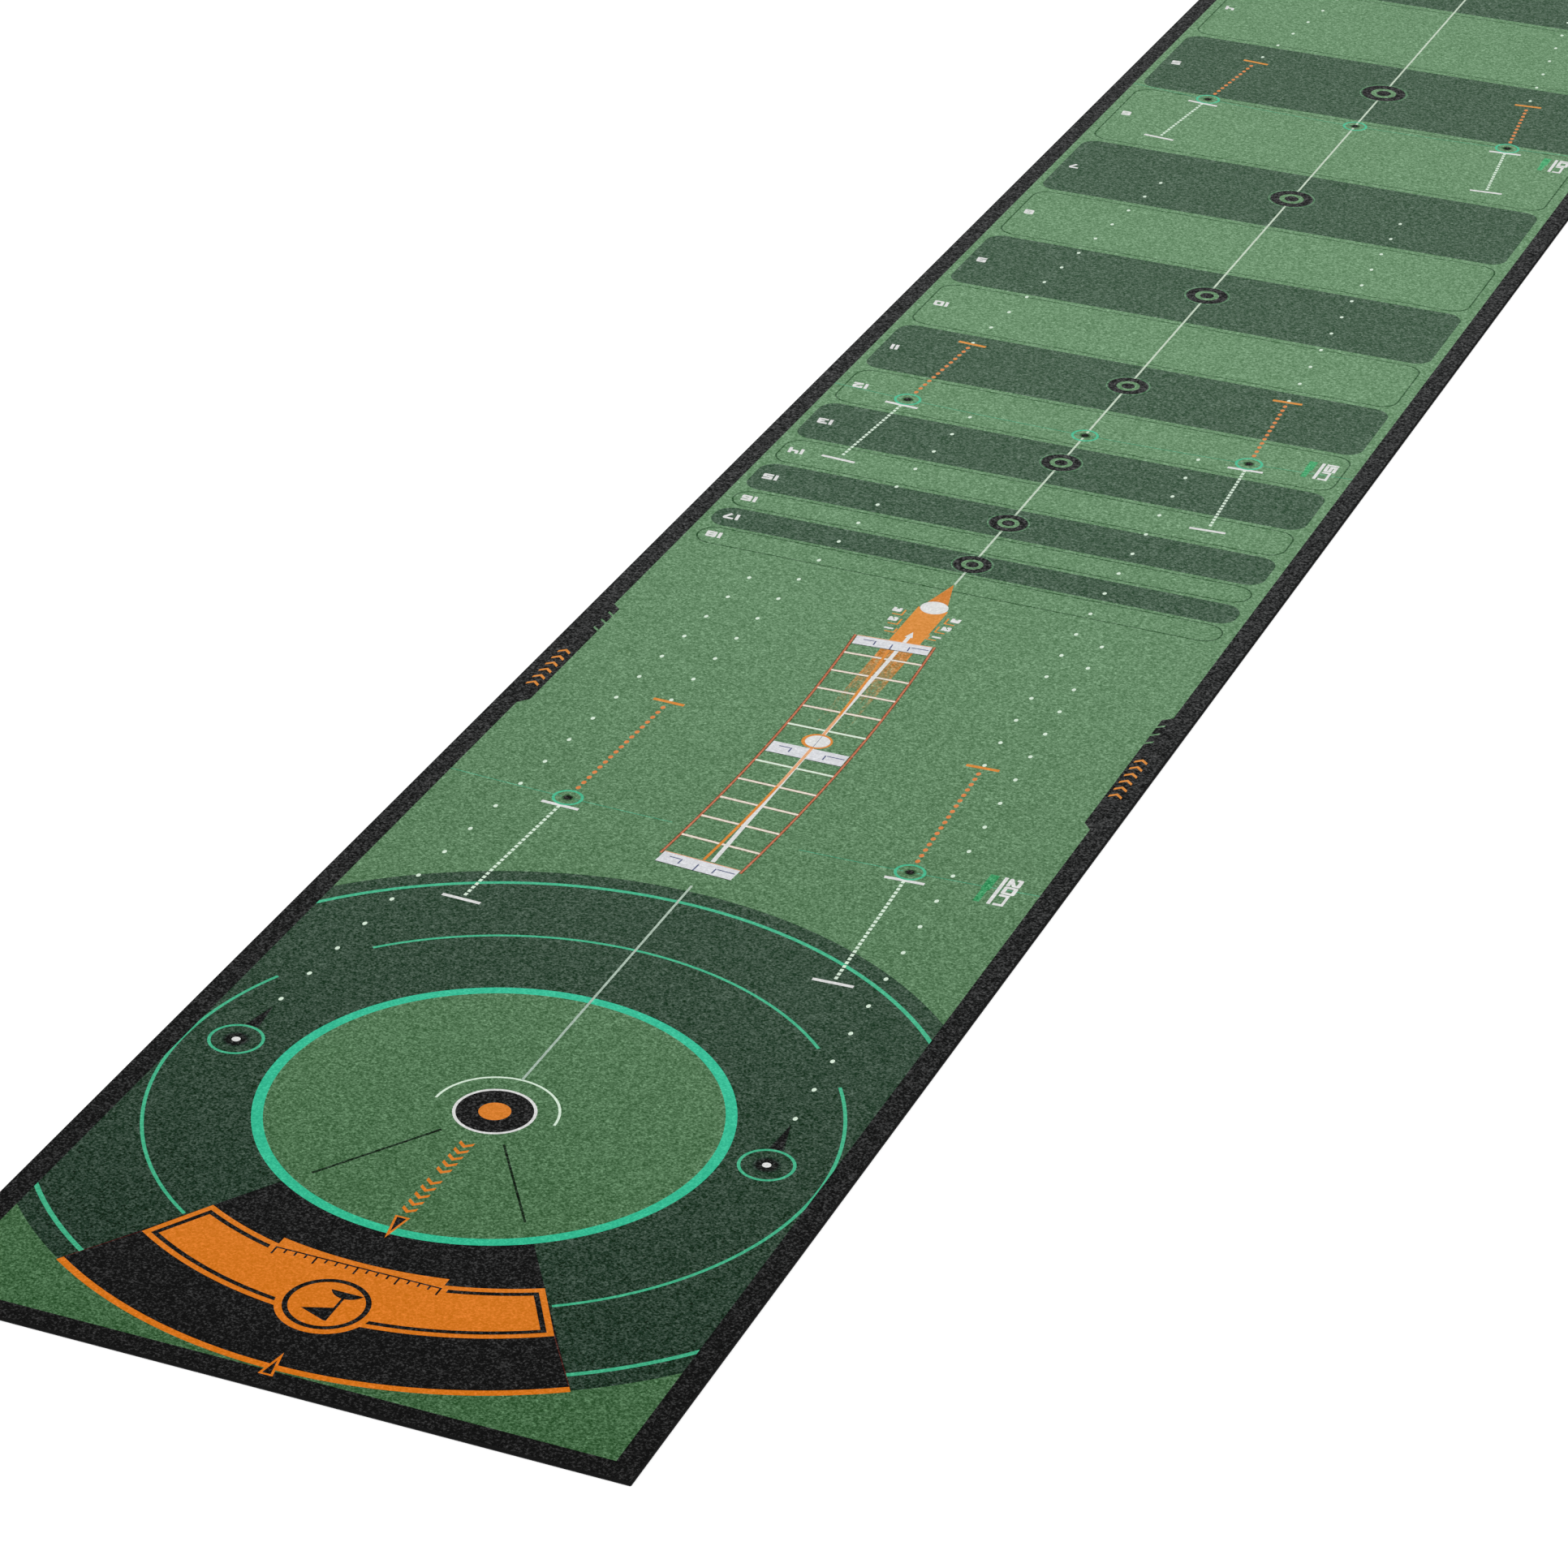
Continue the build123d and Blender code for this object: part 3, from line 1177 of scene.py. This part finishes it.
def pile_material(ink):
    """Short cut pile: speckled yarn, printed in one ink, with a faint fibrous sheen."""
    graph = Graph("pile_" + ink)
    colour = trail_colour(graph) if ink == "trail" else ink_colour(graph, ink)
    near = nearness(graph)
    tufts = graph.math("MULTIPLY", graph.noise(340.0, 1.5, 0.6), between(graph, near, TUFT_SHARE))
    clumps = graph.math("MULTIPLY", graph.noise(170.0, 2.0, 0.7), between(graph, near, CLUMP_SHARE))
    fibres = graph.math("MULTIPLY", graph.noise(1100.0), FIBRE_SHARE)
    speck = graph.math("ADD", graph.math("ADD", tufts, clumps), fibres)
    # Raised to a power, the speckle has a few bright tips; then it is brought to zero on average.
    centred = graph.math("MULTIPLY_ADD", graph.math("POWER", speck, 3.0), 1.33, -0.18)
    blotch = graph.math("SUBTRACT", graph.noise(11.0, 2.0), 0.5)
    wide = graph.math("MULTIPLY", blotch, BLOTCH_SHARE)
    share = SMOOTH_INKS.get(ink, 1.0)
    strength = between(graph, near, SPECKLE, share)
    gain = graph.math("ADD", graph.math("MULTIPLY_ADD", centred, strength, 1.0), wide)
    lift = graph.math("MULTIPLY", centred, between(graph, near, LIFT, share))
    spread = graph.node("ShaderNodeCombineXYZ", enumerate((lift, lift, lift))).outputs[0]
    shown = graph.vector("ADD", graph.scaled(colour, gain), spread)
    graph.surface(graph.vector("MAXIMUM", shown, (0.0012, 0.0012, 0.0012)), 0.95, 0.08)
    graph.shader.inputs["Sheen Weight"].default_value = 0.06
    graph.shader.inputs["Sheen Roughness"].default_value = 0.35
    graph.bump(speck, 0.4, 0.0008)
    return graph.material


def rim_material():
    """The side of the pile: dense black yarn seen end on."""
    graph = Graph("pile_rim")
    threads = graph.noise(900.0, 2.0)
    colour = graph.mix(threads, (0.002, 0.002, 0.002, 1), (0.012, 0.012, 0.012, 1))
    graph.surface(colour, 0.95, 0.05)
    graph.bump(threads, 0.6, 0.0005)
    return graph.material


def cloth_material():
    """Black woven cloth: two crossing sets of threads."""
    graph = Graph("woven_cloth")
    sockets = {"Vector": graph.place, "Scale": 160.0, "Distortion": 0.6}
    waves = [graph.node("ShaderNodeTexWave", sockets, bands_direction=axis) for axis in ("X", "Y")]
    weave = graph.math("MULTIPLY", *[wave.outputs["Fac"] for wave in waves])
    colour = graph.mix(weave, (0.004, 0.004, 0.0045, 1), (0.020, 0.020, 0.022, 1))
    graph.surface(colour, 0.9, 0.1)
    graph.bump(weave, 0.6, 0.0004)
    return graph.material


def rubber_material():
    """Black nitrile rubber with a fine moulded grain."""
    graph = Graph("nitrile_rubber_grain")
    cells = graph.node("ShaderNodeTexVoronoi", {"Vector": graph.place, "Scale": 420.0})
    dust = graph.noise(14.0, 3.0)
    colour = graph.mix(dust, (0.0035, 0.0035, 0.0038, 1), (0.009, 0.009, 0.0095, 1))
    graph.surface(colour, graph.ramp(dust, 0.3, 0.7, 0.62, 0.78, "SMOOTHSTEP"), 0.2)
    graph.bump(cells.outputs["Distance"], 0.35, 0.0003)
    return graph.material


def floor_material():
    graph = Graph("studio_floor")
    colour = graph.mix(graph.noise(3.0, 2.0), (0.95, 0.95, 0.95, 1), (0.965, 0.965, 0.965, 1))
    graph.surface(colour, 1.0, 0.0)
    return graph.material


# ---- stage, lamps and camera

FLOOR_REACH = 90.0  # metres
FLOOR_GAP = 0.0003  # between the floor and the rubber


def build_floor():
    ends = (-FLOOR_REACH, FLOOR_REACH)
    mesh = bpy.data.meshes.new("studio_floor")
    corners = [(x, y, cad_low.z - FLOOR_GAP) for y in ends for x in ends]
    mesh.from_pydata(corners, [], [(0, 1, 3, 2)])
    mesh.materials.append(floor_material())
    floor = bpy.data.objects.new("studio_floor", mesh)
    bpy.context.scene.collection.objects.link(floor)


DOME_STRENGTH = 0.45
SUN_STRENGTH = 2.38


def build_lamps():
    """An even white dome and one very soft overhead lamp."""
    scene = bpy.context.scene
    world = bpy.data.worlds.new("studio_dome")
    scene.world = world
    world.use_nodes = True
    background = world.node_tree.nodes["Background"]
    background.inputs["Color"].default_value = (1, 1, 1, 1)
    background.inputs["Strength"].default_value = DOME_STRENGTH
    lamp = bpy.data.lights.new("overhead", "SUN")
    lamp.energy = SUN_STRENGTH
    lamp.angle = math.radians(40)
    holder = bpy.data.objects.new("overhead", lamp)
    holder.rotation_euler = (math.radians(18), math.radians(14), 0)
    scene.collection.objects.link(holder)


CAMERA_PLACE = (2.528, -4.7088, 3.7258)  # in widths: x, y and height over the playing surface
CAMERA_AIM = (0.0045, 1.6963, 0.0)
CAMERA_ROLL = math.radians(1.473)
CAMERA_LENS = 121.02  # millimetres, on a sensor 36 mm wide


def build_camera():
    place, aim = Vector(CAMERA_PLACE), Vector(CAMERA_AIM)
    forward = (aim - place).normalized()
    level = forward.cross(Vector((0, 0, 1))).normalized()
    across = level * math.cos(CAMERA_ROLL) + level.cross(forward) * math.sin(CAMERA_ROLL)
    data = bpy.data.cameras.new("camera")
    data.sensor_width = 36.0
    data.lens = CAMERA_LENS
    data.clip_end = 400.0
    camera = bpy.data.objects.new("camera", data)
    bpy.context.scene.collection.objects.link(camera)
    turn = Matrix((across, across.cross(forward), -forward)).transposed()
    spot = Matrix.Translation(to_metres(place, cad_high.z + place.z * WIDTH))
    camera.matrix_world = spot @ turn.to_4x4()
    bpy.context.scene.camera = camera


# ---- assembly

def build_pile():
    """Every printed shape is its own solid of pile, from the cloth to the playing surface."""
    paint_everything()
    points, groups = split_plan()
    materials = {ink: pile_material(ink) for ink in sorted(set(inks.values()))}
    pieces = []
    for name in inks:
        if name in groups:
            vertices, faces = prism(points, groups[name], pile_low.z, pile_high.z)
            pieces.append(new_piece("pile_" + name, vertices, faces, materials[inks[name]]))
    rim = rim_material()
    for seed, (name, stations) in enumerate(rim_sides().items()):
        vertices, faces = rim_strip(stations, seed)
        pieces.append(new_piece("pile_" + name, vertices, faces, rim))
    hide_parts("printed_pile")
    return pieces


pile_pieces = build_pile()
cloth = build_cloth(cloth_material())
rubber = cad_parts["rubber_base"]
rubber.data.materials.clear()
rubber.data.materials.append(rubber_material())
build_floor()
build_lamps()
build_camera()
bpy.context.scene.view_settings.view_transform = "Standard"
